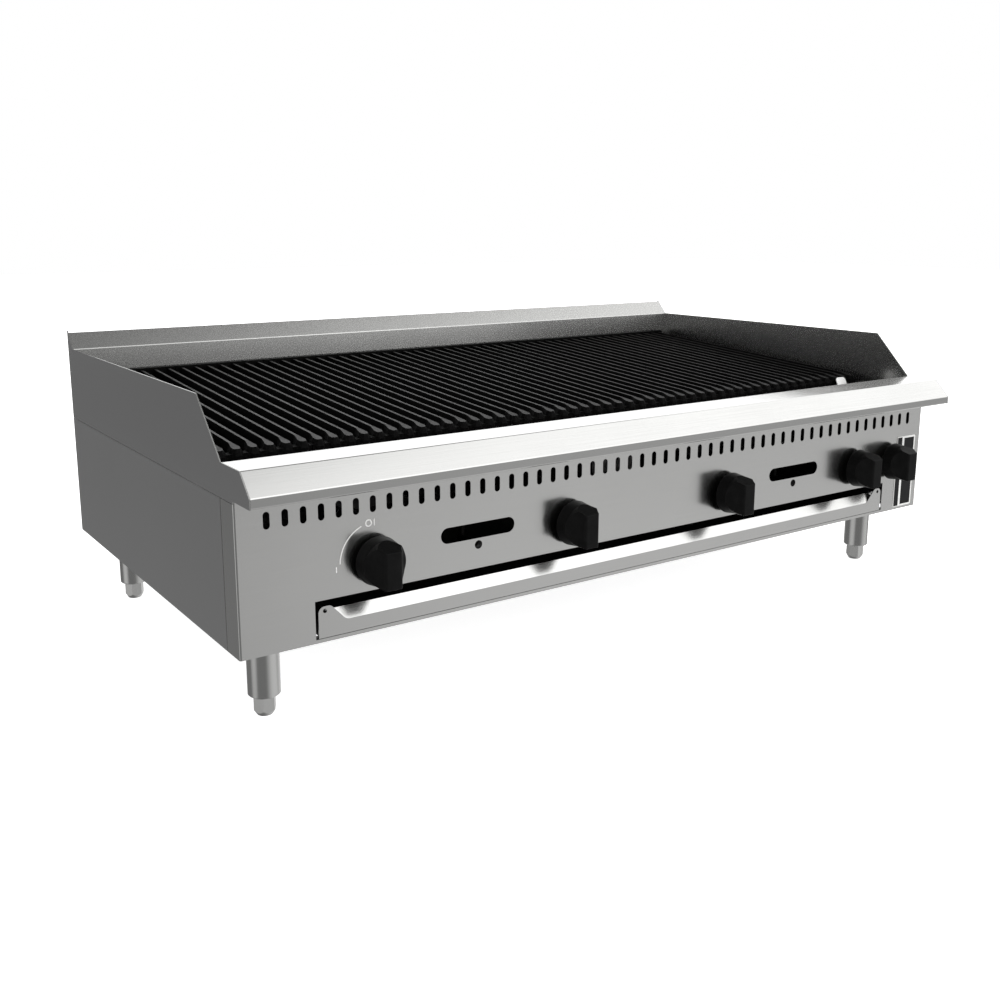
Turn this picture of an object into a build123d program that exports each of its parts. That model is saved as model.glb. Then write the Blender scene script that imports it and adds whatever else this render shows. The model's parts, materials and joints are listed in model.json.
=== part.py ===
from build123d import *
import os
from math import atan, cos, degrees, tan, radians

# Countertop gas charbroiler. Millimetres. The pieces are drawn in the body's frame:
# X = 0 on the centre line, Y = 0 on the control panel's face with +Y to the back,
# Z = 0 on the body's bottom edge. save() moves them to the part's frame, whose origin
# is on the counter, under the centre of the whole unit.

# Body
WIDTH = 1219.0
HALF = WIDTH / 2
DEPTH = 651.0
LEG_HEIGHT = 102.8
SHEET = 1.2
SIDE_SHEET = 1.5
INSIDE = HALF - SIDE_SHEET
BEND = 2.0
GAP = 0.1

# Side panels, splashes and backsplash
SIDE_TOP = 178.6
SEAM = 179.1
PANEL_RETURN = 36.0
SIDE_FRONT = 37.0
SPLASH_TOP = 286.8
BACK_TOP = 313.4
BACKSPLASH_FACE = 626.6
SPLASH_KINK = 96.8
FLANGE_EDGE = 519.5

# Front ledge
LEDGE_TOP = 219.6
LEDGE_BACK = 31.2
LEDGE_CREST = -22.9
LEDGE_FRONT = -47.2
LIP_TOP = 194.0
LIP_BOTTOM = 182.1

# Control panel openings
VENT_COUNT = 53
VENT_PITCH = 22.0
VENT_WIDTH = 8.0
VENT_LENGTH = 20.0
VENT_Z = 155.1
PORT_LENGTH = 110.0
PORT_HEIGHT = 20.0
PORT_Z = 99.5
PILOT_HOLE_Z = 81.0
PILOT_HOLE_RADIUS = 5.5
DRAWER_OPENING_HALF = 517.2
DRAWER_OPENING_LOW = 4.5
DRAWER_OPENING_HIGH = 50.6

# Burner sections: four equal sections, one knob and one burner in each
SECTION = 292.5
BURNER_XS = [(i - 1.5) * SECTION for i in range(4)]
PILOT_XS = [-SECTION, SECTION]
MAIN_KNOB_X = 529.0

# Knobs, stems and valves
KNOB_Z = 88.0
KNOB_RADIUS = 30.0
KNOB_BACK = -8.0
KNOB_SHOULDER = -24.0
KNOB_FRONT = -45.6
STEM_RADIUS = 4.0
STEM_HOLE_RADIUS = 7.0
STEM_END = 29.5
RUNNING_GAP = 0.05

# Gas pipe work
PIPE_Y = 38.0
PIPE_Z = 62.0
PIPE_RADIUS = 13.335
PIPE_BORE = 10.46
FEED_X = 578.0
INLET_START = 655.0
INLET_END = 689.0
BURNER_Z = 118.0
MAIN_VALVE_HALF = 24.0
SPIGOT_RADIUS = 6.0
SPIGOT_DEPTH = 9.5
PILOT_TUBE_RADIUS = 3.2
PILOT_TUBE_Z = 112.0

# Drawer
PAN_HALF = 510.5
PAN_LOW = 6.0
PAN_HIGH = 36.5
PAN_FRONT_HIGH = 19.5
PAN_BACK = 600.0
FRONT_HALF = 513.4
FRONT_LOW = 5.2
FRONT_HIGH = 22.3
EAR_HIGH = 43.2
FRONT_SHEET = 1.5
LIP_LEAN = 8.2
LIP_HIGH = 36.0

# Grates: drawn flat, then tilted down to the front
GRATE_COUNT = 8
GRATE_PITCH = 149.45
GRATE_WIDTH = 148.4
BARS = 7
BAR_PITCH = GRATE_PITCH / BARS
GRATE_FIRST_X = -532.3
GRATE_TIP_Y = 122.0
GRATE_TIP_Z = 215.06
GRATE_LENGTH = 501.0
GRATE_SLOPE = degrees(atan(0.0693))
GRATE_HEIGHT = 20.0
RIDGE_HALF = 1.9
ROOT_HALF = 5.5
NOSE_LENGTH = 23.0
REAR_WALL_RISE = 3.0

# Rails across the firebox
RAIL_SHEET = 2.0
RAIL_DROP = GRATE_HEIGHT + 0.2
RADIANT_LIP = 146.0
BURNER_LIP = 99.6
FRONT_WEB = 180.0
REAR_WEB = 612.0
FRONT_LIP_START = 30.0
LIP_DEPTH = 16.0

# Legs and feet
LEG_X = 553.5
LEG_YS = {"front": 72.0, "rear": 583.5}
LEG_RADIUS = 19.75
LEG_BOTTOM = -77.5
FOOT_RADIUS = 14.2
FOOT_STEM_RADIUS = 8.0
FOOT_STEM_LENGTH = 45.0
PLATE_HALF = 30.0
BOLT_OFFSET = 22.0
BOLT_RADIUS = 3.0
BOLT_HOLE_RADIUS = 3.3

MID_DEPTH = (LEDGE_FRONT + INLET_END) / 2


def save(node, shape):
    """Moves a piece to the part's frame and writes it as one STEP file."""
    export_step(Pos(0, -MID_DEPTH, LEG_HEIGHT) * shape, f"parts/{node}.step")


def block(low, high):
    """A box between two corners."""
    middle = [(a + b) / 2 for a, b in zip(low, high)]
    size = [b - a for a, b in zip(low, high)]
    return Pos(*middle) * Box(*size)


def rod_x(y, z, radius, start, end):
    """A round bar along X."""
    return Pos((start + end) / 2, y, z) * Rot(0, 90, 0) * Cylinder(radius, end - start)


def rod_y(x, z, radius, start, end):
    """A round bar along Y."""
    return Pos(x, (start + end) / 2, z) * Rot(90, 0, 0) * Cylinder(radius, end - start)


def rod_z(x, y, radius, start, end):
    """A round bar along Z."""
    return Pos(x, y, (start + end) / 2) * Cylinder(radius, end - start)


def folded_sheet(points, start, end, radius=BEND, thickness=SHEET):
    """A folded sheet of constant section: its middle line in (y, z), run along X."""
    section = Plane.YZ * trace(FilletPolyline(*points, radius=radius), line_width=thickness)
    return Pos(start, 0, 0) * extrude(section, amount=end - start)


def side_plate(points, start, thickness):
    """A flat plate across X: its outline in (y, z)."""
    outline = make_face(Polyline(*points, close=True))
    return Pos(start, 0, 0) * extrude(Plane.YZ * outline, amount=thickness)


def front_cut(sketch, depth=10.0):
    """A cutter for a sheet that faces the front: its outline in (x, z)."""
    return extrude(Plane.XZ * sketch, amount=depth, both=True)


# --- Body sheets ---

def control_panel():
    outer = block((-HALF, 0, 0), (HALF, PANEL_RETURN, LIP_BOTTOM - 0.3))
    outer = fillet(outer.edges().filter_by(Axis.Z).group_by(Axis.Y)[0], BEND + SHEET / 2)
    inner = block((-HALF + SHEET, SHEET, SHEET), (HALF - SHEET, PANEL_RETURN + 1, LIP_BOTTOM))
    inner = fillet(inner.edges().filter_by(Axis.Z).group_by(Axis.Y)[0], BEND - SHEET / 2)
    panel = outer - inner
    bottom_flange_depth = 20.0
    cutters = [
        block((-HALF + SHEET, bottom_flange_depth, -1), (HALF - SHEET, PANEL_RETURN + 1, 2 * SHEET)),
        block((-HALF - 1, -1, SIDE_TOP), (-INSIDE + 0.2, PANEL_RETURN + 1, LIP_BOTTOM + 1)),
        block((INSIDE - 0.2, -1, SIDE_TOP), (HALF + 1, PANEL_RETURN + 1, LIP_BOTTOM + 1)),
        block((-DRAWER_OPENING_HALF, -1, DRAWER_OPENING_LOW),
              (DRAWER_OPENING_HALF, 2 * SHEET, DRAWER_OPENING_HIGH)),
    ]
    vent = front_cut(SlotOverall(VENT_LENGTH, VENT_WIDTH, rotation=90))
    first_vent = -(VENT_COUNT - 1) / 2 * VENT_PITCH
    cutters += [Pos(first_vent + i * VENT_PITCH, 0, VENT_Z) * vent for i in range(VENT_COUNT)]
    port = front_cut(SlotOverall(PORT_LENGTH, PORT_HEIGHT))
    pilot_hole = front_cut(Circle(PILOT_HOLE_RADIUS))
    cutters += [Pos(x, 0, PORT_Z) * port for x in PILOT_XS]
    cutters += [Pos(x, 0, PILOT_HOLE_Z) * pilot_hole for x in PILOT_XS]
    stem_hole = front_cut(Circle(STEM_HOLE_RADIUS))
    cutters += [Pos(x, 0, KNOB_Z) * stem_hole for x in BURNER_XS + [MAIN_KNOB_X]]
    return panel - cutters


def ledge():
    mid = SHEET / 2
    rear_flange_low = 196.0
    under_edge = 12.0
    points = [
        (LEDGE_BACK - mid, rear_flange_low),
        (LEDGE_BACK - mid, LEDGE_TOP - mid),
        (LEDGE_CREST + 0.25, LEDGE_TOP - mid),
        (LEDGE_FRONT + mid, LIP_TOP - 0.25),
        (LEDGE_FRONT + mid, LIP_BOTTOM + mid),
        (under_edge, LIP_BOTTOM + mid),
    ]
    return folded_sheet(points, -INSIDE + GAP, INSIDE - GAP)


def splash():
    """The left splash. Its front end closes the ledge and its back end closes the backsplash."""
    points = [
        (0, SEAM),
        (DEPTH, SEAM),
        (DEPTH, BACK_TOP),
        (BACKSPLASH_FACE, SPLASH_TOP),
        (SPLASH_KINK, SPLASH_TOP),
        (LEDGE_BACK, LEDGE_TOP),
        (LEDGE_CREST, LEDGE_TOP),
        (LEDGE_FRONT, LIP_TOP),
        (LEDGE_FRONT, LIP_BOTTOM),
        (0, LIP_BOTTOM),
    ]
    return side_plate(points, -HALF, SIDE_SHEET)


def side_panel():
    """The lower left side, with the inward bottom flange that carries the legs."""
    wall = block((-HALF, SIDE_FRONT, 0), (-INSIDE, DEPTH, SIDE_TOP))
    flange = block((-HALF, SIDE_FRONT, 0), (-FLANGE_EDGE, DEPTH - 2, SIDE_SHEET))
    panel = wall + flange
    neck_hole_radius = 12.3
    for y in LEG_YS.values():
        panel -= rod_z(-LEG_X, y, neck_hole_radius, -1, 3)
        panel -= [rod_z(*corner, BOLT_HOLE_RADIUS, -1, 3) for corner in bolt_corners(-LEG_X, y)]
    return panel


def backsplash():
    mid = SHEET / 2
    rear = DEPTH - mid
    rise = (BACK_TOP - SPLASH_TOP) / (DEPTH - BACKSPLASH_FACE)
    low_corner = (BACKSPLASH_FACE + mid, SPLASH_TOP - 0.24)
    high_corner = (rear, low_corner[1] + rise * (rear - low_corner[0]))
    points = [(low_corner[0], 192.0), low_corner, high_corner, (rear, SEAM + 1)]
    return folded_sheet(points, -INSIDE + GAP, INSIDE - GAP, radius=1.5)


def back_panel():
    panel = block((-INSIDE + GAP, DEPTH - SHEET, 0), (INSIDE - GAP, DEPTH, SIDE_TOP))
    return panel - rod_y(FEED_X, PIPE_Z, PIPE_RADIUS + 2, DEPTH - 5, DEPTH + 5)


def drawer_runners():
    """Two angles on the side panels' flanges. The drawer slides on their lips."""
    web_high = 30.0
    lip_edge = 495.0
    lip_high = PAN_LOW - 0.3
    web = block((-FLANGE_EDGE, 20, SIDE_SHEET), (-FLANGE_EDGE + SIDE_SHEET, 640, web_high))
    lip = block((-FLANGE_EDGE, 20, lip_high - SIDE_SHEET), (-lip_edge, 640, lip_high))
    left = web + lip
    return Compound([left, mirror(left, about=Plane.YZ)])


def grease_trough():
    """The gutter in front of the grates, with the chute that drains it into the drawer."""
    front, rear = 33.5, 147.0
    points = [(front, 206.0), (front, 168.0), (rear, 163.0), (rear, 193.0)]
    gutter = folded_sheet(points, -INSIDE + GAP, INSIDE - GAP)
    chute_half, chute_front, chute_back = 40.0, 84.0, 108.0
    chute_low, chute_high = 52.0, 165.5
    hole = block((-chute_half, chute_front, chute_low - 1), (chute_half, chute_back, 180))
    walls = block((-chute_half - SHEET, chute_front - SHEET, chute_low),
                  (chute_half + SHEET, chute_back + SHEET, chute_high))
    return gutter + walls - hole


# --- Grates and what carries them ---

def on_slope(shape):
    """Moves a shape from the grates' flat frame to their slope. Its Y = 0 is at the tips."""
    return Pos(0, GRATE_TIP_Y, GRATE_TIP_Z) * Rot(GRATE_SLOPE, 0, 0) * shape


def slope_z(y, below=0.0):
    """The height of the grates' top plane at y, or of a plane that far below it."""
    tilt = radians(GRATE_SLOPE)
    return GRATE_TIP_Z + (y - GRATE_TIP_Y) * tan(tilt) - below / cos(tilt)


def nose_plan(front, half, tail_half):
    """The outline of a bar's nose from above: a point of the bar that widens to a round end."""
    return make_face(Polyline(
        (-tail_half, NOSE_LENGTH), (-half, front + 7), (-0.8 * half, front + 2), (-0.35 * half, front),
        (0.35 * half, front), (0.8 * half, front + 2), (half, front + 7), (tail_half, NOSE_LENGTH),
        close=True))


def grate():
    """One cast grate: wedge-shaped bars on cross rails, with a flared nose on each bar."""
    section = make_face(Polyline((-RIDGE_HALF, 0), (RIDGE_HALF, 0), (ROOT_HALF, -GRATE_HEIGHT),
                                 (-ROOT_HALF, -GRATE_HEIGHT), close=True))
    bar_length = GRATE_LENGTH - NOSE_LENGTH
    bar = Pos(0, GRATE_LENGTH, 0) * extrude(Plane.XZ * section, amount=bar_length)
    flare_low, nose_drop = -10.5, 2.4
    foot_plan = Pos(0, 0, flare_low) * nose_plan(-4.2, 10.4, 3.8)
    nose = loft([nose_plan(0, 4.3, RIDGE_HALF), foot_plan], ruled=True)
    nose += extrude(foot_plan, amount=-GRATE_HEIGHT - flare_low)
    wedge = make_face(Polyline((-10, 1), (-10, -nose_drop), (0, -nose_drop), (NOSE_LENGTH, 0),
                               (NOSE_LENGTH, 1), close=True))
    nose -= extrude(Plane.YZ * wedge, amount=20, both=True)
    xs = [(i - (BARS - 1) / 2) * BAR_PITCH for i in range(BARS)]
    half = GRATE_WIDTH / 2
    rails = [
        block((-half, -3, -GRATE_HEIGHT), (half, 8, -8.0)),
        block((-half, NOSE_LENGTH + 12, -GRATE_HEIGHT), (half, NOSE_LENGTH + 22, -10)),
        block((-half, 250, -GRATE_HEIGHT), (half, 258, -10)),
        block((-half, GRATE_LENGTH - 8, -GRATE_HEIGHT), (half, GRATE_LENGTH, REAR_WALL_RISE)),
    ]
    solid = Part() + [Pos(x, 0, 0) * bar for x in xs] + [Pos(x, 0, 0) * nose for x in xs] + rails
    return on_slope(solid)


def grate_rail(web_y, slope_start, slope_end, lip_sign):
    """A rail across the firebox: a sloped lip under the grates, one lip under the radiants
    and one under the burners."""
    high = slope_z(web_y, RAIL_DROP + RAIL_SHEET / 2)
    width = INSIDE - GAP
    web = block((-width, web_y, BURNER_LIP), (width, web_y + RAIL_SHEET, high))
    top = on_slope(block((-width, slope_start, -RAIL_DROP - RAIL_SHEET),
                         (width, slope_end, -RAIL_DROP)))
    near, far = sorted((web_y + RAIL_SHEET / 2, web_y + RAIL_SHEET / 2 + lip_sign * LIP_DEPTH))
    lips = [block((-width, near, z), (width, far, z + RAIL_SHEET))
            for z in (RADIANT_LIP, BURNER_LIP)]
    return web + top + lips


def front_grate_rail():
    rail = grate_rail(FRONT_WEB, FRONT_LIP_START, 60, 1)
    throat = 17.5
    for x in BURNER_XS:
        rail -= rod_y(x, BURNER_Z, throat, FRONT_WEB - 2, FRONT_WEB + LIP_DEPTH + 2)
        rail -= block((x - throat, FRONT_WEB - 2, BURNER_LIP - 1),
                      (x + throat, FRONT_WEB + LIP_DEPTH + 2, BURNER_Z))
    for x in PILOT_XS:
        rail -= rod_y(x, PILOT_TUBE_Z, PILOT_TUBE_RADIUS + 1, FRONT_WEB - 2, FRONT_WEB + 5)
    return rail


def stop_tab():
    """A tab welded to the front rail's edge. It stands up in front of the last grate, leaning
    back, and keeps it from sliding forward."""
    middle_x, half, front, thickness = 540.0, 12.0, -12.5, 1.6
    bottom, bend_z, top_z, lean = -RAIL_DROP - thickness, -14.0, -2.0, 6.0
    stop = side_plate([(front, bottom), (front, bend_z), (front + lean, top_z),
                       (front + lean + thickness, top_z), (front + thickness, bend_z),
                       (front + thickness, -RAIL_DROP), (FRONT_LIP_START, -RAIL_DROP),
                       (FRONT_LIP_START, bottom)], middle_x - half, 2 * half)
    outline = Pos(middle_x, top_z - 20) * RectangleRounded(2 * half, 40, 6)
    return on_slope(stop & front_cut(outline, 60))


def rear_grate_rail():
    return grate_rail(REAR_WEB, 478, 499, -1)


def radiant():
    """One deflector: a sheet folded to a ridge over each leg of its burner."""
    ridge_x, edge_x = 60.0, 138.0
    low, high = RADIANT_LIP + RAIL_SHEET + 0.9, 185.0
    points = [(-edge_x, low), (-ridge_x, high), (0, low), (ridge_x, high), (edge_x, low)]
    front, back = FRONT_WEB + 4, REAR_WEB - 2
    section = Plane.XZ * trace(FilletPolyline(*points, radius=3), line_width=1.5)
    sheet = Pos(0, back, 0) * extrude(section, amount=back - front)
    slot = extrude(SlotOverall(22, 6, rotation=90), amount=100, both=True)
    rows = [-105.0, -30.0, 30.0, 105.0]
    slot_pitch, slot_count = 40.0, 10
    first = (front + back) / 2 - slot_pitch * (slot_count - 1) / 2
    return sheet - [Pos(x, first + i * slot_pitch, 150) * slot
                    for x in rows for i in range(slot_count)]


# --- Gas train ---

def burner():
    """A burner with two legs, a front cross tube and a venturi that opens to the valve."""
    leg_x, front, back = 60.0, 214.0, 592.0
    tube, bore, throat, mouth = 15.5, 14.3, 12.5, 17.0
    mouth_y, flare_end = 74.0, 92.0

    def tubes(radius, venturi, inset):
        legs = [rod_y(x, BURNER_Z, radius, front, back - inset) for x in (-leg_x, leg_x)]
        ends = [Pos(x, front, BURNER_Z) * Sphere(radius) for x in (-leg_x, leg_x)]
        return legs + ends + [rod_x(front, BURNER_Z, radius, -leg_x, leg_x),
                              rod_y(0, BURNER_Z, venturi, mouth_y - inset, front)]

    flare = Pos(0, (mouth_y + flare_end) / 2, BURNER_Z) * Rot(90, 0, 0) * Cone(
        throat, mouth, flare_end - mouth_y)
    flare_bore = Pos(0, (mouth_y + flare_end) / 2, BURNER_Z) * Rot(90, 0, 0) * Cone(
        throat - SHEET, mouth - SHEET, flare_end - mouth_y + 0.02)
    shell = Part() + tubes(tube, throat, 0) + [flare]
    shell = shell - tubes(bore, throat - SHEET, 2) - flare_bore
    port = Cylinder(1.4, 20)
    port_pitch, port_count = 16.0, 22
    return shell - [Pos(x, front + 20 + i * port_pitch, BURNER_Z + 12) * port
                    for x in (-leg_x, leg_x) for i in range(port_count)]


def burner_valve():
    """A plug valve on the manifold, with a riser to the hood that feeds the burner."""
    pieces = [
        rod_y(0, KNOB_Z, 10, 12, 46),
        Pos(0, 8.5, KNOB_Z) * Rot(90, 0, 0) * extrude(RegularPolygon(9, 6), amount=5, both=True),
        rod_z(0, PIPE_Y, SPIGOT_RADIUS, PIPE_Z + SPIGOT_DEPTH, BURNER_Z),
        rod_y(0, BURNER_Z, 7, PIPE_Y - 7, 68),
    ]
    return Part() + pieces - rod_y(0, KNOB_Z, STEM_RADIUS + RUNNING_GAP, 0, STEM_END + 1) \
        - rod_y(0, BURNER_Z, 1.2, 60, 70)


def main_valve():
    """The main gas cock between the feed pipe and the manifold."""
    body = block((MAIN_KNOB_X - 16, PIPE_Y - 17, PIPE_Z - 15.5),
                 (MAIN_KNOB_X + 16, PIPE_Y + 17, KNOB_Z + 13))
    body = fillet(body.edges(), 3)
    neck = rod_x(PIPE_Y, PIPE_Z, 16, MAIN_KNOB_X - MAIN_VALVE_HALF, MAIN_KNOB_X + MAIN_VALVE_HALF)
    nose = rod_y(MAIN_KNOB_X, KNOB_Z, 9, 4, PIPE_Y)
    bore = rod_y(MAIN_KNOB_X, KNOB_Z, STEM_RADIUS + RUNNING_GAP, 0, STEM_END + 1)
    ports = rod_x(PIPE_Y, PIPE_Z, PIPE_BORE, MAIN_KNOB_X - MAIN_VALVE_HALF - 1,
                  MAIN_KNOB_X - 12)
    outlet = rod_x(PIPE_Y, PIPE_Z, PIPE_BORE, MAIN_KNOB_X + 12,
                   MAIN_KNOB_X + MAIN_VALVE_HALF + 1)
    return body + neck + nose - bore - ports - outlet


def manifold():
    left_end, cap_length = -475.0, 14.0
    right_end = MAIN_KNOB_X - MAIN_VALVE_HALF - GAP
    pipe = rod_x(PIPE_Y, PIPE_Z, PIPE_RADIUS, left_end, right_end)
    cap = rod_x(PIPE_Y, PIPE_Z, PIPE_RADIUS + 1.2, left_end - 4, left_end + cap_length)
    bore = rod_x(PIPE_Y, PIPE_Z, PIPE_BORE, left_end + 2, right_end + 1)
    taps = [rod_z(x, PIPE_Y, SPIGOT_RADIUS + RUNNING_GAP, PIPE_Z + 5, PIPE_Z + 20)
            for x in BURNER_XS]
    taps += [rod_z(x, PIPE_Y, PILOT_TUBE_RADIUS + RUNNING_GAP, PIPE_Z + 5, PIPE_Z + 20)
             for x in PILOT_XS]
    return pipe + cap - bore - taps


def gas_pipe():
    """The feed from the threaded inlet at the back, along the right side, to the main cock."""
    start = MAIN_KNOB_X + MAIN_VALVE_HALF + GAP
    elbow_radius = 17.0
    collar_radius = 19.0
    pipe = Part() + [
        rod_y(FEED_X, PIPE_Z, collar_radius, DEPTH, INLET_START),
        rod_x(PIPE_Y, PIPE_Z, PIPE_RADIUS, start, FEED_X),
        Pos(FEED_X, PIPE_Y, PIPE_Z) * Sphere(elbow_radius),
        rod_x(PIPE_Y, PIPE_Z, elbow_radius, FEED_X - 20, FEED_X),
        rod_y(FEED_X, PIPE_Z, elbow_radius, PIPE_Y, PIPE_Y + 20),
        rod_y(FEED_X, PIPE_Z, PIPE_RADIUS, PIPE_Y, INLET_END),
    ]
    return pipe - rod_y(FEED_X, PIPE_Z, PIPE_BORE, PIPE_Y, INLET_END + 1) \
        - rod_x(PIPE_Y, PIPE_Z, PIPE_BORE, start - 1, FEED_X)


def pilot():
    """A pilot: its adjusting valve, its tube back from the manifold and its burner head."""
    valve_high, head_y, head_z = PIPE_Z + SPIGOT_DEPTH, 226.0, 122.0
    route = FilletPolyline((0, PIPE_Y, valve_high), (0, PIPE_Y, 104), (0, 150, PILOT_TUBE_Z),
                           (0, head_y, PILOT_TUBE_Z), radius=10)
    tube = sweep(Plane(route @ 0, z_dir=route % 0) * Circle(PILOT_TUBE_RADIUS), path=route)
    head = rod_z(0, head_y, 7, 106, head_z)
    hood = block((-11, head_y - 9, head_z), (11, head_y + 9, head_z + 1.5))
    valve = rod_y(0, PILOT_HOLE_Z, 4.8, 8, PIPE_Y + 5)
    screw_slot = block((-4, 7, PILOT_HOLE_Z - 0.6), (4, 9.5, PILOT_HOLE_Z + 0.6))
    return tube + head + hood + valve - screw_slot


# --- Knobs, drawer, legs ---

def knob():
    """A round skirt with a bar grip across it, turned to the off position. The grip's flanks
    sweep in from the skirt's edge, and its ends slope in to the crown."""
    front_radius, crown_half = KNOB_RADIUS - 2, 11.2
    crown_low, crown_high = -26.0, 18.5
    skirt = Pos(0, (KNOB_BACK + KNOB_SHOULDER) / 2, 0) * Rot(90, 0, 0) * Cone(
        KNOB_RADIUS, front_radius, KNOB_BACK - KNOB_SHOULDER)
    skirt = fillet(skirt.edges().group_by(Axis.Y)[-1], 0.8)
    root_y = KNOB_SHOULDER + 1
    from_above = RadiusArc((-front_radius, root_y), (-crown_half, KNOB_FRONT), 40)
    from_above += Line((-crown_half, KNOB_FRONT), (crown_half, KNOB_FRONT))
    from_above += RadiusArc((crown_half, KNOB_FRONT), (front_radius, root_y), 40)
    from_above += Line((front_radius, root_y), (-front_radius, root_y))
    grip = extrude(make_face(from_above), amount=KNOB_RADIUS, both=True)
    grip &= side_plate([(root_y, -front_radius), (root_y, front_radius), (KNOB_FRONT, crown_high),
                        (KNOB_FRONT, crown_low)], -KNOB_RADIUS, 2 * KNOB_RADIUS)
    crown_edges = grip.faces().sort_by(Axis.Y)[0].edges()
    grip = fillet(crown_edges.filter_by(Axis.Z), 4.5)
    grip = fillet(grip.faces().sort_by(Axis.Y)[0].edges().filter_by(Axis.X), 1.2)
    grip &= rod_y(0, 0, front_radius - 0.3, KNOB_FRONT - 1, root_y)
    solid = skirt + grip - rod_y(0, 0, STEM_RADIUS, KNOB_FRONT + 15, 0)
    return Pos(0, 0, KNOB_Z) * solid


def valve_stem():
    shaft = rod_y(0, KNOB_Z, STEM_RADIUS, KNOB_FRONT + 16, STEM_END)
    return chamfer(shaft.edges(), 0.5)


def drawer_front():
    """The drawer's face: a low plate with a raised ear at each end and a lip that leans back."""
    half = FRONT_HALF
    left_ear = FilletPolyline((-half, FRONT_LOW), (-half, EAR_HIGH), (-half + 16, EAR_HIGH),
                              (-half + 35.5, FRONT_HIGH), (0, FRONT_HIGH), radius=[8, 7.5, 9])
    outline = left_ear + Line((0, FRONT_HIGH), (0, FRONT_LOW)) + Line((0, FRONT_LOW),
                                                                     (-half, FRONT_LOW))
    left_plate = Pos(0, FRONT_SHEET, 0) * extrude(Plane.XZ * make_face(outline),
                                                  amount=FRONT_SHEET)
    hole = rod_y(-half + 8.4, EAR_HIGH - 5.6, 2.6, -1, 3)
    left_plate -= hole
    lip_half = PAN_HALF - SHEET - GAP
    lip = side_plate([(0.5, FRONT_HIGH - 1.5), (0, FRONT_HIGH), (LIP_LEAN, LIP_HIGH),
                      (LIP_LEAN + 1.3, LIP_HIGH - 0.8), (1.5, FRONT_HIGH - 1.0)],
                     -lip_half, 2 * lip_half)
    return left_plate + mirror(left_plate, about=Plane.YZ) + lip


def drawer_pan():
    outer = block((-PAN_HALF, FRONT_SHEET, PAN_LOW), (PAN_HALF, PAN_BACK, PAN_HIGH))
    inner = block((-PAN_HALF + SHEET, FRONT_SHEET + SHEET, PAN_LOW + SHEET),
                  (PAN_HALF - SHEET, PAN_BACK - SHEET, PAN_HIGH + 1))
    front_gap = block((-PAN_HALF + SHEET, 0, PAN_FRONT_HIGH),
                      (PAN_HALF - SHEET, 2 * FRONT_SHEET + 2, PAN_HIGH + 1))
    return outer - inner - front_gap


def badge():
    plate = block((548.5, -0.8, 4.5), (596.0, 0, 124.5))
    return fillet(plate.edges().filter_by(Axis.Y), 2)


def bolt_corners(x, y):
    """The four bolt places round a leg."""
    return [(x + i * BOLT_OFFSET, y + j * BOLT_OFFSET) for i in (-1, 1) for j in (-1, 1)]


def leg(x, y):
    """A leg tube with its inside plate, neck and threaded bottom insert."""
    plate_high = SIDE_SHEET + 3
    wall, insert_high = 1.6, LEG_BOTTOM + 28
    tube = rod_z(x, y, LEG_RADIUS, LEG_BOTTOM, -GAP)
    tube = chamfer(tube.edges().group_by(Axis.Z)[0], 1.5)
    hollow = rod_z(x, y, LEG_RADIUS - wall, insert_high, -4)
    neck = rod_z(x, y, 12, -2, SIDE_SHEET + 1)
    plate = block((x - PLATE_HALF, y - PLATE_HALF, SIDE_SHEET + GAP),
                  (x + PLATE_HALF, y + PLATE_HALF, plate_high))
    bore = rod_z(x, y, FOOT_STEM_RADIUS + 0.3, LEG_BOTTOM - 1, insert_high + 1)
    holes = [rod_z(*corner, BOLT_HOLE_RADIUS, 0, plate_high + 1) for corner in bolt_corners(x, y)]
    return tube + neck + plate - hollow - bore - holes


def foot(x, y):
    """An adjustable foot: a six-sided bullet on a stem that screws into the leg."""
    base = extrude(RegularPolygon(FOOT_RADIUS, 6), amount=LEG_HEIGHT + LEG_BOTTOM - 0.3)
    cone = Pos(0, 0, 15) * Cone(FOOT_RADIUS - 4.5, FOOT_RADIUS + 14.5, 30)
    base = base & cone
    stem = rod_z(0, 0, FOOT_STEM_RADIUS, 10, LEG_HEIGHT + LEG_BOTTOM + FOOT_STEM_LENGTH)
    return Pos(x, y, -LEG_HEIGHT) * (base + stem)


def leg_bolts():
    """The hex bolts that hold the leg plates to the side panels' flanges."""
    head_high, nut_high = SIDE_SHEET + 3 + GAP, 3.2
    bolts = []
    hexagon = RegularPolygon(5.5, 6)
    for side in (-1, 1):
        for y in LEG_YS.values():
            for corner in bolt_corners(side * LEG_X, y):
                nut = Pos(*corner, head_high) * extrude(hexagon, amount=nut_high)
                shank = rod_z(*corner, BOLT_RADIUS, -GAP - 0.1, head_high + 0.1)
                head = Pos(*corner, -GAP - 2.4) * extrude(hexagon, amount=2.4)
                bolts.append(nut + shank + head)
    return Compound(bolts)


os.makedirs("parts", exist_ok=True)

left_splash, left_side = splash(), side_panel()
save("control_panel", control_panel())
save("front_ledge", ledge())
save("left_splash", left_splash)
save("right_splash", mirror(left_splash, about=Plane.YZ))
save("left_side_panel", left_side)
save("right_side_panel", mirror(left_side, about=Plane.YZ))
save("backsplash", backsplash())
save("back_panel", back_panel())
save("drawer_runners", drawer_runners())
save("grease_trough", grease_trough())
save("front_grate_rail", front_grate_rail())
save("rear_grate_rail", rear_grate_rail())
save("stop_tab", stop_tab())
save("manifold", manifold())
save("gas_pipe", gas_pipe())
save("main_valve", main_valve())

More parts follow.
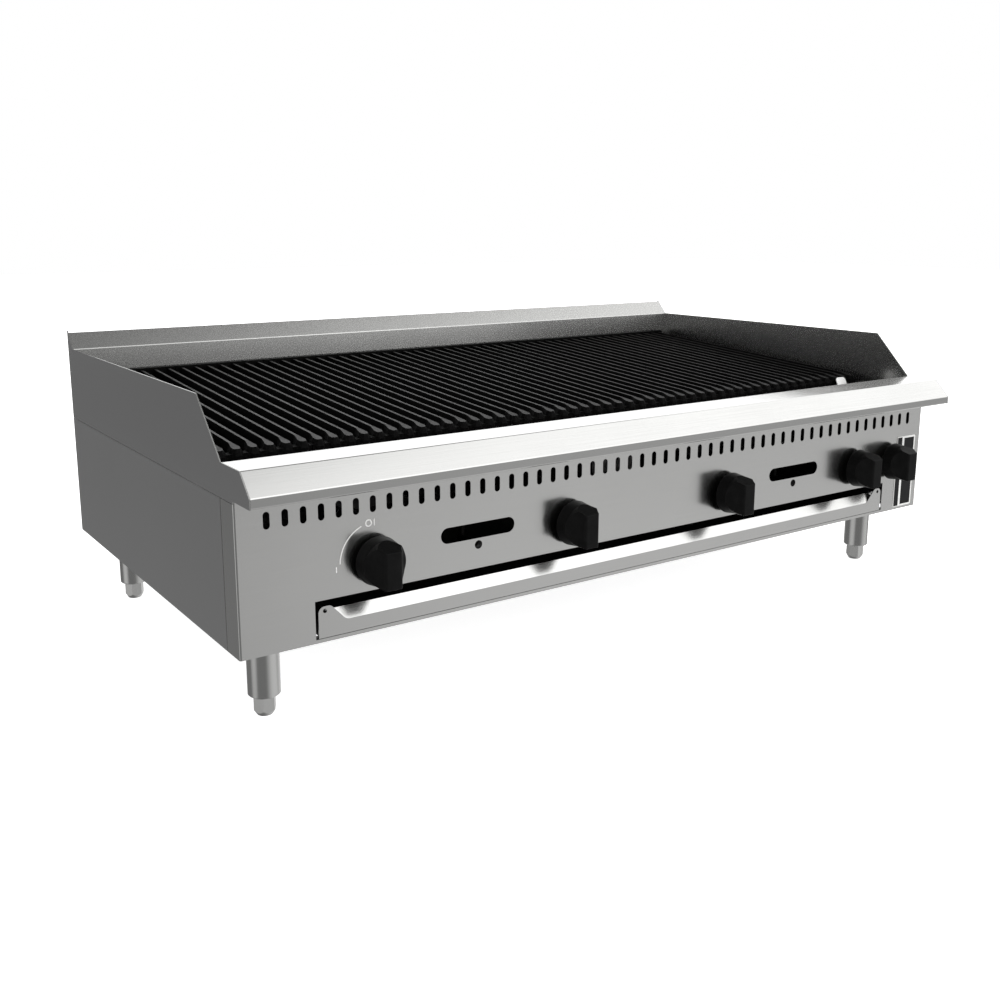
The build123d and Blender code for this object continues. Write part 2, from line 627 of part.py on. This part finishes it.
one_valve, one_burner, one_radiant = burner_valve(), burner(), radiant()
one_knob, one_stem = knob(), valve_stem()
for i, x in enumerate(BURNER_XS, start=1):
    place = Pos(x, 0, 0)
    save(f"burner_valve_{i}", place * one_valve)
    save(f"burner_{i}", place * one_burner)
    save(f"radiant_{i}", place * one_radiant)
    save(f"knob_{i}", place * one_knob)
    save(f"valve_stem_{i}", place * one_stem)
save("main_knob", Pos(MAIN_KNOB_X, 0, 0) * one_knob)
save("main_valve_stem", Pos(MAIN_KNOB_X, 0, 0) * one_stem)

one_pilot = pilot()
for side, x in zip(("left", "right"), PILOT_XS):
    save(f"{side}_pilot", Pos(x, 0, 0) * one_pilot)

one_grate = grate()
for i in range(GRATE_COUNT):
    save(f"grate_{i + 1}", Pos(GRATE_FIRST_X + i * GRATE_PITCH, 0, 0) * one_grate)

save("drawer_front", drawer_front())
save("drawer_pan", drawer_pan())
save("badge", badge())
save("leg_bolts", leg_bolts())
for end, y in LEG_YS.items():
    for side, x in (("left", -LEG_X), ("right", LEG_X)):
        save(f"{end}_{side}_leg", leg(x, y))
        save(f"{end}_{side}_foot", foot(x, y))
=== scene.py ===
import json
import math
import bmesh
import bpy
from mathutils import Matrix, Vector


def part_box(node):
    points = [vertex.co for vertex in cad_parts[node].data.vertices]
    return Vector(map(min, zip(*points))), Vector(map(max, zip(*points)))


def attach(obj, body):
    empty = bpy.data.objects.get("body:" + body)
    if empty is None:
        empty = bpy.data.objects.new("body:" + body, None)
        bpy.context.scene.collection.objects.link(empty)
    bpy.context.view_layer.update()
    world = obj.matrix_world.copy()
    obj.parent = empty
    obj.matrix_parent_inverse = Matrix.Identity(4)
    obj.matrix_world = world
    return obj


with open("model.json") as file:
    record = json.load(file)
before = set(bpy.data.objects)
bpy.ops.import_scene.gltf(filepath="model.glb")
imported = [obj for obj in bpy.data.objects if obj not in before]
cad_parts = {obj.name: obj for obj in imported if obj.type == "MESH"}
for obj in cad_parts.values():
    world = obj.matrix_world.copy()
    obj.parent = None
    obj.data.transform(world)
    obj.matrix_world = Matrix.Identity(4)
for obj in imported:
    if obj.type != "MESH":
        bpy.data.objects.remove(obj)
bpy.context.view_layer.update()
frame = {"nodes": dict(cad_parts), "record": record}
NODES = frame["nodes"]

# --- Camera: looks at the left front corner from a little above ---

CAMERA_PLACE = Vector((-1.02706, -1.41266, 0.5758))
CAMERA_YAW = 0.602
CAMERA_PITCH = -0.2035
CAMERA_LENS = 39.48
CAMERA_SHIFT = (0.0112, -0.0501)
SENSOR_WIDTH = 36.0


def add_camera():
    data = bpy.data.cameras.new("camera")
    camera = bpy.data.objects.new("camera", data)
    bpy.context.scene.collection.objects.link(camera)
    data.lens = CAMERA_LENS
    data.sensor_width = SENSOR_WIDTH
    data.shift_x, data.shift_y = CAMERA_SHIFT
    data.dof.use_dof = False
    forward = Vector((math.sin(CAMERA_YAW) * math.cos(CAMERA_PITCH),
                      math.cos(CAMERA_YAW) * math.cos(CAMERA_PITCH),
                      math.sin(CAMERA_PITCH)))
    camera.location = CAMERA_PLACE
    camera.rotation_mode = "QUATERNION"
    camera.rotation_quaternion = forward.to_track_quat("-Z", "Y")
    bpy.context.scene.camera = camera


# --- Materials ---

class Nodes:
    """A short way to write a material's node tree."""

    def __init__(self, owner, shader="Principled BSDF"):
        self.tree = owner.node_tree
        self.shader = self.tree.nodes[shader]

    def add(self, kind, **settings):
        node = self.tree.nodes.new(kind)
        for key, value in settings.items():
            setattr(node, key, value)
        return node

    def link(self, source, target):
        self.tree.links.new(source, target)

    def place(self, scale):
        """Object coordinates, in metres in the shared frame, scaled for a texture."""
        coordinates = self.add("ShaderNodeTexCoord")
        mapping = self.add("ShaderNodeMapping")
        mapping.inputs["Scale"].default_value = scale
        self.link(coordinates.outputs["Object"], mapping.inputs["Vector"])
        return mapping.outputs["Vector"]

    def split(self, vector):
        """The X, Y and Z of a vector."""
        node = self.add("ShaderNodeSeparateXYZ")
        self.link(vector, node.inputs["Vector"])
        return node.outputs

    def position(self):
        return self.split(self.place((1, 1, 1)))

    def normal(self):
        return self.split(self.add("ShaderNodeNewGeometry").outputs["Normal"])

    def noise(self, scale, detail=3.0, roughness=0.55):
        node = self.add("ShaderNodeTexNoise")
        node.inputs["Scale"].default_value = 1.0
        node.inputs["Detail"].default_value = detail
        node.inputs["Roughness"].default_value = roughness
        self.link(self.place(scale), node.inputs["Vector"])
        return node.outputs["Fac"]

    def ramp(self, source, low, high, start=0.3, end=0.7):
        """Maps a value from start..end to low..high."""
        node = self.add("ShaderNodeMapRange")
        node.inputs["From Min"].default_value = start
        node.inputs["From Max"].default_value = end
        node.inputs["To Min"].default_value = low
        node.inputs["To Max"].default_value = high
        self.link(source, node.inputs["Value"])
        return node.outputs["Result"]

    def smooth(self, source, low, high, start, end):
        """As ramp, but with soft ends."""
        value = self.ramp(source, low, high, start, end)
        value.node.interpolation_type = "SMOOTHSTEP"
        return value

    def blend(self, factor, low, high):
        """A colour between low and high."""
        node = self.add("ShaderNodeMix", data_type="RGBA")
        self.link(factor, node.inputs[0])
        for socket, colour in ((6, low), (7, high)):
            if isinstance(colour, tuple):
                node.inputs[socket].default_value = (*colour, 1)
            else:
                self.link(colour, node.inputs[socket])
        return node.outputs[2]

    def math(self, operation, first, second):
        node = self.add("ShaderNodeMath", operation=operation)
        for socket, value in zip(node.inputs, (first, second)):
            if isinstance(value, (int, float)):
                socket.default_value = value
            else:
                self.link(value, socket)
        return node.outputs[0]

    def bump(self, height, distance, strength=0.5):
        node = self.add("ShaderNodeBump")
        node.inputs["Distance"].default_value = distance
        node.inputs["Strength"].default_value = strength
        self.link(height, node.inputs["Height"])
        self.link(node.outputs["Normal"], self.shader.inputs["Normal"])

    def set(self, socket, value):
        target = self.shader.inputs[socket]
        if hasattr(value, "links"):
            self.link(value, target)
        else:
            target.default_value = value


def new_material(name):
    material = bpy.data.materials.new(name)
    material.use_nodes = True
    return material, Nodes(material)


# The middle of a noise's range, where nearly all of its values lie.
MIDDLE = (0.38, 0.62)
SPECKLE_SCALE = (420, 420, 420)
GREATEST_ROUGHNESS_SPREAD = 0.05


def scaled(shade, factor):
    return tuple(min(1.0, c * factor) for c in shade)


def brushed_steel(name, shade, roughness, grain, mottle=0.10, depth=0.00003, painted_upright_shade=1.0):
    """Satin stainless sheet. grain is the noise scale along X, Y and Z: small along the brushing.
    The last argument is painted shade: how much darker the vertical faces are coloured than the
    level ones."""
    material, n = new_material(name)
    streaks = n.noise(grain, detail=4.0, roughness=0.7)
    clouds = n.noise((9, 9, 9), detail=2.0)
    speckle = n.noise(SPECKLE_SCALE, detail=2.0)
    tone = n.math("ADD", n.math("MULTIPLY", streaks, 0.55), n.math("MULTIPLY", clouds, 0.25))
    tone = n.math("ADD", tone, n.math("MULTIPLY", speckle, 0.2))
    colour = n.blend(n.ramp(tone, 0, 1, *MIDDLE), scaled(shade, 1 - mottle),
                     scaled(shade, 1 + mottle))
    # Painted shade: vertical faces are coloured darker than level ones.
    if painted_upright_shade < 1.0:
        is_level = n.ramp(n.math("ABSOLUTE", n.normal()["Z"], 0), 0, 1, 0.2, 0.5)
        colour = n.blend(is_level, scaled(shade, painted_upright_shade), colour)
    n.set("Base Color", colour)
    n.set("Metallic", 1.0)
    spread = min(mottle, GREATEST_ROUGHNESS_SPREAD)
    n.set("Roughness", n.ramp(tone, roughness - spread, roughness + spread, *MIDDLE))
    n.bump(streaks, depth)
    return material


def splash_sheet(name, outside, inside, roughness):
    """Splash steel: smooth outside, grainy and a little stained on the faces round the grates.
    Those faces are darker towards the left end."""
    material, n = new_material(name)
    grain = n.noise((520, 520, 520), detail=2.0, roughness=0.5)
    stains = n.noise((30, 30, 40), detail=5.0, roughness=0.6)
    fine = n.noise((900, 30, 900), detail=3.0)
    x, normal = n.position()["X"], n.normal()
    faces_a_side = n.ramp(n.math("MULTIPLY", normal["X"], x), 0, 1, 0.2, 0.4)
    faces_back = n.ramp(normal["Y"], 0, 1, 0.5, 0.8)
    is_outside = n.math("MAXIMUM", faces_a_side, faces_back)
    is_inside = n.math("SUBTRACT", 1, is_outside)
    tone = n.math("ADD", n.math("MULTIPLY", grain, 0.9), n.math("MULTIPLY", stains, 0.1))
    rough_side = n.blend(n.ramp(tone, 0, 1, 0.40, 0.60), scaled(inside, 0.91),
                         scaled(inside, 1.08))
    rough_side = n.blend(n.ramp(x, 0, 1, -0.6, -0.15), scaled(inside, 0.72), rough_side)
    smooth_side = n.blend(n.ramp(fine, 0, 1), scaled(outside, 0.985), outside)
    n.set("Base Color", n.blend(is_outside, rough_side, smooth_side))
    n.set("Metallic", 1.0)
    unevenness = n.math("MULTIPLY", n.ramp(tone, -0.02, 0.04, *MIDDLE), is_inside)
    n.set("Roughness", n.math("ADD", unevenness, roughness))
    n.bump(n.math("MULTIPLY", grain, is_inside), 0.00002, 0.5)
    return material


IRON_HOLLOWS = (0.0006, 0.0006, 0.0006)
IRON_SKIN = (0.005, 0.0049, 0.0048)
WORN_IRON = (0.07, 0.07, 0.07)


def cast_iron(name):
    """Seasoned black casting. The bars' ridges, which meet the food, are worn lighter. Their
    lighter colour is stronger towards the left end."""
    material, n = new_material(name)
    pits = n.noise((420, 420, 420), detail=4.0, roughness=0.7)
    patches = n.noise((28, 28, 28), detail=3.0)
    x, y, z = n.position()
    facing_up = n.ramp(n.normal()["Z"], 0, 1, 0.93, 0.985)
    before_wall = n.ramp(y, 1, 0, REAR_WALL_Y - 0.002, REAR_WALL_Y)
    level = n.math("SUBTRACT", z, n.math("MULTIPLY", y, GRATE_SLOPE))
    on_ridge = n.ramp(level, 0, 1, RIDGE_LEVEL - 0.005, RIDGE_LEVEL - 0.003)
    wear = n.math("MULTIPLY", facing_up, n.ramp(patches, 0.7, 1.0, 0.35, 0.65))
    wear = n.math("MULTIPLY", wear, n.math("MULTIPLY", before_wall, on_ridge))
    # The lighter ridge colour fades out towards the right end.
    wear = n.math("MULTIPLY", wear, n.ramp(x, 1.0, 0.15, -0.5, 0.3))
    base = n.blend(n.ramp(pits, 0, 1, 0.42, 0.62), IRON_HOLLOWS, IRON_SKIN)
    n.set("Base Color", n.blend(wear, base, WORN_IRON))
    n.set("Metallic", wear)
    n.set("Roughness", n.ramp(pits, 0.42, 0.62))
    n.set("Specular IOR Level", 0.035)
    n.bump(n.math("ADD", pits, n.math("MULTIPLY", patches, 0.5)), 0.0003, 0.6)
    return material


def heat_tinted_steel(name, shade, tint):
    """Steel that has been hot: straw and blue patches over dull grey."""
    material, n = new_material(name)
    patches = n.noise((14, 6, 14), detail=4.0)
    scale_marks = n.noise((260, 260, 260), detail=3.0)
    n.set("Base Color", n.blend(n.ramp(patches, 0, 1, 0.4, 0.6), shade, tint))
    n.set("Metallic", 1.0)
    n.set("Roughness", n.ramp(scale_marks, 0.38, 0.6))
    n.bump(scale_marks, 0.00008)
    return material


def moulded_plastic(name, shade):
    """Black phenolic with a fine moulded texture."""
    material, n = new_material(name)
    texture = n.noise((1500, 1500, 1500), detail=2.0)
    smudges = n.noise((60, 60, 60), detail=3.0)
    n.set("Base Color", n.blend(n.ramp(smudges, 0, 1), shade, scaled(shade, 1.7)))
    n.set("Roughness", n.ramp(smudges, 0.36, 0.5))
    n.set("Specular IOR Level", 0.055)
    n.bump(texture, 0.00006, 0.5)
    return material


def machined_brass(name):
    material, n = new_material(name)
    turning = n.noise((300, 1200, 300), detail=2.0)
    tarnish = n.noise((40, 40, 40), detail=4.0)
    # Both tarnish tones are far darker than brass: painted shade, so the valves look black inside
    # the body.
    n.set("Base Color", n.blend(n.ramp(tarnish, 0, 1), (0.03, 0.022, 0.012), (0.08, 0.06, 0.03)))
    n.set("Metallic", 1.0)
    n.set("Roughness", n.ramp(tarnish, 0.25, 0.5))
    n.bump(turning, 0.00003)
    return material


def painted_pipe(name):
    material, n = new_material(name)
    skin = n.noise((220, 220, 220), detail=4.0)
    n.set("Base Color", n.blend(n.ramp(skin, 0, 1), (0.015, 0.015, 0.016), (0.035, 0.034, 0.033)))
    n.set("Metallic", 0.2)
    n.set("Roughness", n.ramp(skin, 0.4, 0.65))
    n.bump(skin, 0.0001)
    return material


def print_film(name, shade, roughness=0.4, gloss=0.5):
    """Printed film or ink: a flat tone with a faint screen texture."""
    material, n = new_material(name)
    screen = n.noise((900, 900, 900), detail=1.0)
    light = tuple(min(1.0, c * 1.35 + 0.004) for c in shade)
    n.set("Base Color", n.blend(n.ramp(screen, 0, 1), shade, light))
    n.set("Roughness", n.ramp(screen, roughness - 0.06, roughness + 0.06))
    n.set("Specular IOR Level", gloss)
    n.bump(screen, 0.00002, 0.3)
    return material


ALONG_X = (6, 900, 900)
ALONG_Y = (900, 6, 900)
ALONG_Z = (900, 900, 6)

# The grates' ridges lie on a plane that rises to the back, a little under the top of their
# rear wall.
GRATE_SLOPE = 0.0693
GRATE_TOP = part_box("grate_1")[1]
REAR_WALL_THICKNESS = 0.009
RIDGE_UNDER_WALL = 0.003
REAR_WALL_Y = GRATE_TOP.y - REAR_WALL_THICKNESS
RIDGE_LEVEL = GRATE_TOP.z - RIDGE_UNDER_WALL - GRATE_SLOPE * GRATE_TOP.y

MATERIALS = {
    "panel_steel": brushed_steel("panel_steel", (0.57, 0.57, 0.56), 0.20, ALONG_X, 0.02, 0.00002),
    "side_steel": brushed_steel("side_steel", (0.56, 0.56, 0.56), 0.30, ALONG_Y, 0.015, 0.000004),
    "splash_steel": splash_sheet("splash_steel", (0.54, 0.54, 0.54), (0.49, 0.49, 0.48), 0.24),
    # The ledge's vertical faces, its lip, get painted shade.
    "ledge_steel": brushed_steel("ledge_steel", (0.59, 0.59, 0.58), 0.16, ALONG_X, 0.06,
                                 painted_upright_shade=0.72),
    # Painted shade: the inside sheet steel is coloured dark grey, so the inside of the body looks
    # black through the slots.
    "inner_steel": brushed_steel("inner_steel", (0.10, 0.10, 0.10), 0.45, ALONG_X, 0.20),
    "leg_steel": brushed_steel("leg_steel", (0.58, 0.58, 0.57), 0.20, ALONG_Z, 0.02, 0.00001),
    "stem_steel": brushed_steel("stem_steel", (0.6, 0.6, 0.6), 0.28, ALONG_Y, 0.06),
    "bolt_steel": brushed_steel("bolt_steel", (0.55, 0.54, 0.48), 0.35, (300, 300, 300), 0.1),
    "grate_iron": cast_iron("grate_iron"),
    # Painted shade: the radiants' dark grey makes the gaps between the grate bars look black; the
    # brown patches are heat tint.
    "radiant_steel": heat_tinted_steel("radiant_steel", (0.07, 0.065, 0.06), (0.12, 0.10, 0.08)),
    "burner_steel": heat_tinted_steel("burner_steel", (0.12, 0.11, 0.10), (0.08, 0.085, 0.11)),
    "knob_plastic": moulded_plastic("knob_plastic", (0.003, 0.003, 0.003)),
    "valve_brass": machined_brass("valve_brass"),
    "pipe_steel": painted_pipe("pipe_steel"),
    "badge_film": print_film("badge_film", (0.50, 0.50, 0.49), 0.35),
}
DARK_PRINT = print_film("dark_print", (0.004, 0.004, 0.0045), 0.45, 0.12)
LIGHT_PRINT = print_film("light_print", (0.52, 0.52, 0.51), 0.5)
# Painted highlight: near-white steel, so the stop tab shows as a bright spot below the grates'
# right end.
STOP_TAB_PAINTED_HIGHLIGHT = brushed_steel("stop_tab_painted_highlight", (0.92, 0.92, 0.91), 0.45, (300, 300, 300), 0.04)
MILL_STEEL = brushed_steel("mill_steel", (0.42, 0.42, 0.41), 0.36, ALONG_X, 0.08)
# Painted shade: the pilots are coloured near black, so they look dark inside the lighting port.
PILOT_PAINTED_SHADE = heat_tinted_steel("pilot_painted_shade", (0.010, 0.010, 0.010), (0.020, 0.018, 0.016))
OWN_FINISH = {"stop_tab": STOP_TAB_PAINTED_HIGHLIGHT, "back_panel": MILL_STEEL, "grease_trough": MILL_STEEL,
              "left_pilot": PILOT_PAINTED_SHADE, "right_pilot": PILOT_PAINTED_SHADE}

SMOOTH_UP_TO = math.radians(32)
BEVEL_FROM = math.radians(35)

# How wide the broken edges are, for the nodes whose names start so.
EDGE_WIDTHS = {"grate_": 0.0006, "left_splash": 0.0006, "right_splash": 0.0006,
               "stop_tab": 0.0004, "left_side_panel": 0.0012, "right_side_panel": 0.0012,
               "control_panel": 0.0003, "drawer_front": 0.0003, "main_valve": 0.0003,
               "badge": 0.0003}


def break_edges(node, width):
    bevel = node.modifiers.new("edges", "BEVEL")
    bevel.width = width
    bevel.segments = 2
    bevel.limit_method = "ANGLE"
    bevel.angle_limit = BEVEL_FROM
    bevel.harden_normals = True


def finish_cad_nodes():
    """Gives every CAD node its material and smooth round faces, and the listed nodes slightly
    broken edges.
    """
    for part in frame["record"]["subparts"]:
        name = part["node"]
        node = NODES[name]
        node.data.materials.clear()
        node.data.materials.append(OWN_FINISH.get(name, MATERIALS[part["material_slot"]]))
        node.data.polygons.foreach_set("use_smooth", [True] * len(node.data.polygons))
        node.data.set_sharp_from_angle(angle=SMOOTH_UP_TO)
        for start, width in EDGE_WIDTHS.items():
            if name.startswith(start):
                break_edges(node, width)


# --- Printed details on the panel ---

def add_piece(name, mesh_maker, material, body):
    mesh = bpy.data.meshes.new(name)
    shape = bmesh.new()
    mesh_maker(shape)
    bmesh.ops.recalc_face_normals(shape, faces=shape.faces)
    shape.to_mesh(mesh)
    shape.free()
    piece = bpy.data.objects.new(name, mesh)
    bpy.context.scene.collection.objects.link(piece)
    mesh.materials.append(material)
    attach(piece, body)


def add_prism(shape, outline, front, back):
    """A flat piece on a front-facing sheet: its outline in (x, z), between two y values."""
    near = [shape.verts.new((x, front, z)) for x, z in outline]
    far = [shape.verts.new((x, back, z)) for x, z in outline]
    shape.faces.new(near)
    shape.faces.new(far)
    for i in range(len(outline)):
        j = (i + 1) % len(outline)
        shape.faces.new((near[i], near[j], far[j], far[i]))


def rectangle(low_x, high_x, low_z, high_z):
    return [(low_x, low_z), (high_x, low_z), (high_x, high_z), (low_x, high_z)]


def arc_band(middle_x, middle_z, inner, outer, start, end, steps=28):
    """The outline of a band round a centre, between two angles in degrees."""
    angles = [math.radians(start + (end - start) * i / steps) for i in range(steps + 1)]
    outside = [(middle_x + outer * math.cos(a), middle_z + outer * math.sin(a)) for a in angles]
    inside = [(middle_x + inner * math.cos(a), middle_z + inner * math.sin(a))
              for a in reversed(angles)]
    return outside + inside


PRINT_THICKNESS = 0.00008
PRINT_GAP = 0.00001
TICK_HALF_WIDTH = 0.0006


def add_dial_print(knob, body):
    """The dial's arc with an off mark at the top and a full mark at the left."""
    low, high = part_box(knob)
    middle_x, middle_z = (low.x + high.x) / 2, (low.z + high.z) / 2
    radius = (high.x - low.x) / 2
    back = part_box("control_panel")[0].y - PRINT_GAP
    front = back - PRINT_THICKNESS

    def tick(x, low_z, high_z):
        return rectangle(x - TICK_HALF_WIDTH, x + TICK_HALF_WIDTH, low_z, high_z)

    def build(shape):
        arc = arc_band(middle_x, middle_z, radius * 1.50, radius * 1.545, 112, 178)
        add_prism(shape, arc, front, back)
        ring_x, ring_z = middle_x - radius * 0.25, middle_z + radius * 1.5
        for start in (0, 180):
            half_ring = arc_band(ring_x, ring_z, radius * 0.10, radius * 0.15,
                                 start, start + 180, 12)
            add_prism(shape, half_ring, front, back)
        add_prism(shape, tick(middle_x, ring_z - 0.004, ring_z + 0.004), front, back)
        full_x = middle_x - radius * 1.68
        add_prism(shape, tick(full_x, middle_z - 0.008, middle_z - 0.001), front, back)

    add_piece(f"dial_print_{body}", build, LIGHT_PRINT, "chassis")


def add_badge_print():
    """Two black strips on the plain badge, with a light line between them."""
    low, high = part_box("badge")
    back = low.y - PRINT_GAP
    front = back - PRINT_THICKNESS
    margin, inner_margin, line = 0.0012, 0.003, 0.0055
    split = low.x + (high.x - low.x) * 0.27

    def build(shape):
        add_prism(shape, rectangle(low.x + margin, split, low.z + margin, high.z - margin),
                  front, back)
        add_prism(shape, rectangle(split + line, high.x - inner_margin, low.z + inner_margin,
                                   high.z - inner_margin), front, back)

    add_piece("badge_print", build, DARK_PRINT, "chassis")


# --- Studio ---

FLOOR_HALF = 12.0
FLOOR_GLOW = 0.85


def add_floor():
    shape = bmesh.new()
    corners = rectangle(-FLOOR_HALF, FLOOR_HALF, -FLOOR_HALF, FLOOR_HALF)
    shape.faces.new([shape.verts.new((x, y, 0)) for x, y in corners])
    mesh = bpy.data.meshes.new("floor")
    shape.to_mesh(mesh)
    shape.free()
    floor = bpy.data.objects.new("floor", mesh)
    bpy.context.scene.collection.objects.link(floor)
    material, n = new_material("floor")
    grain = n.noise((40, 40, 40), detail=3.0)
    n.set("Base Color", n.blend(n.ramp(grain, 0, 1), (0.93, 0.93, 0.93), (0.95, 0.95, 0.95)))
    n.set("Roughness", 0.9)
    n.set("Emission Color", (1, 1, 1, 1))
    n.set("Emission Strength", FLOOR_GLOW)
    mesh.materials.append(material)
    floor.visible_glossy = False


def add_area_light(name, place, target, size, power):
    data = bpy.data.lights.new(name, "AREA")
    data.shape = "RECTANGLE"
    data.size, data.size_y = size
    data.energy = power
    light = bpy.data.objects.new(name, data)
    bpy.context.scene.collection.objects.link(light)
    light.location = place
    direction = Vector(target) - Vector(place)
    light.rotation_mode = "QUATERNION"
    light.rotation_quaternion = direction.to_track_quat("-Z", "Y")
    return light


def add_studio():
    """A white backdrop. What the metal reflects is a bright ring of soft boxes, which is taller
    at the front, with a dim ceiling over it, a dim ground and a darker left side."""
    world = bpy.data.worlds.new("studio")
    bpy.context.scene.world = world
    world.use_nodes = True
    n = Nodes(world, "Background")
    x, y, z = n.split(n.add("ShaderNodeTexCoord").outputs["Generated"])
    height = n.math("ADD", z, n.math("MULTIPLY", n.math("MINIMUM", y, 0), 0.8))
    ring = n.smooth(height, 1.6, 0.26, 0.60, 0.81)
    ring = n.math("MULTIPLY", ring, n.smooth(x, 0.4, 1.0, -0.5, 0.5))
    ring = n.math("MULTIPLY", ring, n.smooth(y, 1.35, 1.0, -0.7, -0.35))
    ground = n.math("MULTIPLY", n.smooth(x, 0.2, 0.67, -0.2, 0.68), n.smooth(x, 1, 0.4, 0.88, 0.98))
    ground = n.math("ADD", ground, n.smooth(x, 0.45, 0, -0.97, -0.8))
    ground = n.math("MULTIPLY", ground, n.smooth(z, 1.12, 0.9, -0.35, -0.1))
    above = n.smooth(z, 0, 1, -0.1, 0.12)
    surround = n.math("ADD", n.math("MULTIPLY", ring, above),
                      n.math("MULTIPLY", ground, n.math("SUBTRACT", 1, above)))
    n.link(surround, n.shader.inputs["Strength"])
    backdrop = n.add("ShaderNodeBackground")
    mix = n.add("ShaderNodeMixShader")
    n.link(n.add("ShaderNodeLightPath").outputs["Is Camera Ray"], mix.inputs[0])
    n.link(n.shader.outputs[0], mix.inputs[1])
    n.link(backdrop.outputs[0], mix.inputs[2])
    n.link(mix.outputs[0], n.tree.nodes["World Output"].inputs["Surface"])
    n.shader.inputs["Color"].default_value = (1, 1, 1, 1)
    backdrop.inputs["Color"].default_value = (1, 1, 1, 1)
    top_light = add_area_light("top_light", place=(0.9, -0.6, 2.4), target=(0, 0, 0.2),
                               size=(2.0, 2.0), power=12)
    top_light.visible_glossy = False
    bpy.context.scene.view_settings.view_transform = "Standard"


add_camera()
finish_cad_nodes()
add_dial_print("knob_1", "burner_knob_1")
add_badge_print()
add_floor()
add_studio()
